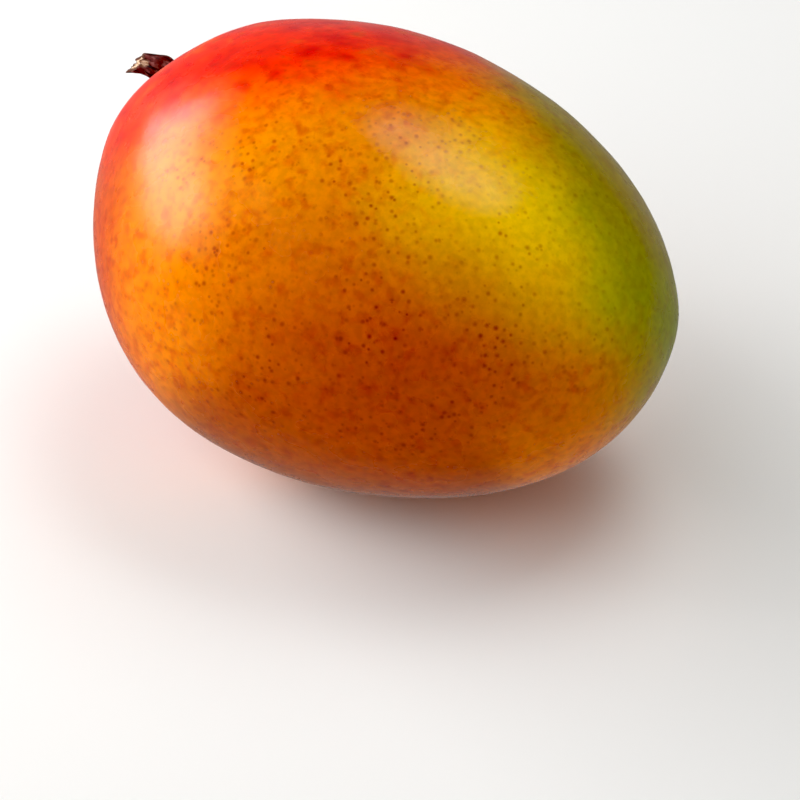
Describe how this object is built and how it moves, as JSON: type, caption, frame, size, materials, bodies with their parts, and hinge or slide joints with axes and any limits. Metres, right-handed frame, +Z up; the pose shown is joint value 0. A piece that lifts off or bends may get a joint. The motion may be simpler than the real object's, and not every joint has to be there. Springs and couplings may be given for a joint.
{
  "type": "mango",
  "caption": "Whole ripe mango lying on its cheek: egg-shaped fruit with a hollow at the broad end that holds a dry, broken stub of stalk.",
  "frame": {"origin": "on the surface that the fruit rests on, under the middle of the whole object's bounding box", "axes": "+X along the fruit's length from the stalk's end to the tip, +Y from the back to the belly, +Z up through the upper cheek"},
  "size_m": [0.1326, 0.096, 0.087],
  "materials": {
    "skin": "smooth waxy fruit skin with a satin sheen, red at the stalk's end through orange and yellow to green at the tip, with small dark pores",
    "bark": "dry, ridged, dark red-brown bark with pale broken wood at the end"
  },
  "bodies": {
    "root": {"fruit": "skin", "stem": "bark"}
  },
  "joints": []
}
